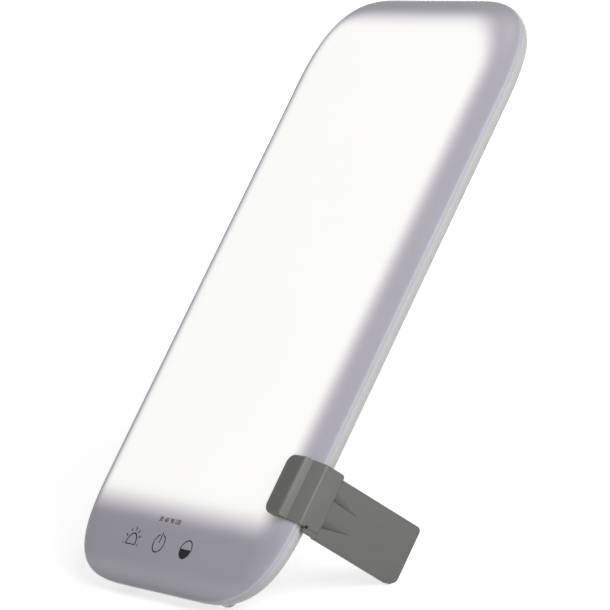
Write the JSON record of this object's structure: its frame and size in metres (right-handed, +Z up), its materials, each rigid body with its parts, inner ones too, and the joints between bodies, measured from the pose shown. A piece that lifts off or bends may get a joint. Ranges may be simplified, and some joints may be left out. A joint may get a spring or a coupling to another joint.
{
  "type": "light therapy lamp",
  "caption": "Slim upright light therapy lamp: an opal light panel with touch marks, leaning back on rear feet and a clip-on folding leg.",
  "frame": {"origin": "middle of the lamp's bounding box at table height", "axes": "+X to the right of someone facing the light, towards the clip and leg; +Y from the front to the back; +Z up"},
  "size_m": [0.1672, 0.2028, 0.2298],
  "materials": {
    "opal_cover": "opal, satin",
    "housing_white": "gloss",
    "frame_white": "satin",
    "diffuser_film": "frosted",
    "light_guide_acrylic": "clear, polished",
    "reflector_film": "white, reflective",
    "aluminium": "rolled",
    "circuit_board": "solder resist",
    "led_strip_white": "satin",
    "led_phosphor": "satin",
    "conductive_foam": "matt",
    "black_plastic": "matt",
    "copper_wire": "enamelled wire",
    "zinc_steel": "zinc plated",
    "lead_sleeve": "satin",
    "flat_cable_grey": "satin",
    "soft_rubber": "matt",
    "clear_grey_rubber": "translucent, satin",
    "clip_grey_green": "fine matt texture",
    "leg_grey_green": "fine matt texture"
  },
  "bodies": {
    "panel": {"front_cover": "opal_cover", "back_cover": "housing_white", "cover_screw_1": "zinc_steel", "cover_screw_2": "zinc_steel", "cover_screw_3": "zinc_steel", "cover_screw_4": "zinc_steel", "cover_screw_5": "zinc_steel", "cover_screw_6": "zinc_steel", "cover_screw_7": "zinc_steel", "cover_screw_8": "zinc_steel", "diffuser_sheet": "diffuser_film", "light_guide": "light_guide_acrylic", "reflector_sheet": "reflector_film", "heat_spreader": "aluminium", "guide_rail_top": "frame_white", "guide_rail_bottom": "frame_white", "led_strip_left": "led_strip_white", "led_strip_right": "led_strip_white", "led_lead_left": "lead_sleeve", "led_lead_right": "lead_sleeve", "control_board": "circuit_board", "control_board_screw_1": "zinc_steel", "control_board_screw_2": "zinc_steel", "touch_pad_sunrise": "conductive_foam", "touch_pad_power": "conductive_foam", "touch_pad_brightness": "conductive_foam", "timer_light_block": "black_plastic", "timer_led_bar": "led_phosphor", "touch_chip": "black_plastic", "board_cable": "flat_cable_grey", "driver_board": "circuit_board", "driver_board_screw_1": "zinc_steel", "driver_board_screw_2": "zinc_steel", "driver_board_screw_3": "zinc_steel", "driver_board_screw_4": "zinc_steel", "dc_socket": "black_plastic", "dc_socket_pin": "zinc_steel", "driver_coil_core": "black_plastic", "driver_coil_winding": "copper_wire", "driver_chip": "black_plastic", "input_capacitor": "aluminium", "output_capacitor": "aluminium", "foot_left": "clear_grey_rubber", "foot_right": "clear_grey_rubber"},
    "clip": {"clip_body": "clip_grey_green", "clip_liner_front": "soft_rubber", "clip_liner_back": "soft_rubber", "hinge_pin": "zinc_steel", "hinge_washer_low": "zinc_steel", "hinge_washer_top": "zinc_steel"},
    "leg": {"leg_plate": "leg_grey_green"}
  },
  "joints": [
    {"name": "clip_slide", "type": "slide", "parent": "panel", "child": "clip", "axis": [1, 0, 0], "range_m": [0, 0.03]},
    {"name": "leg_hinge", "type": "hinge", "parent": "clip", "child": "leg", "pos_m": [0.0746, -0.06209, 0.0283], "axis": [0, 0.6647, 0.7471], "range_deg": [0, 90]}
  ]
}
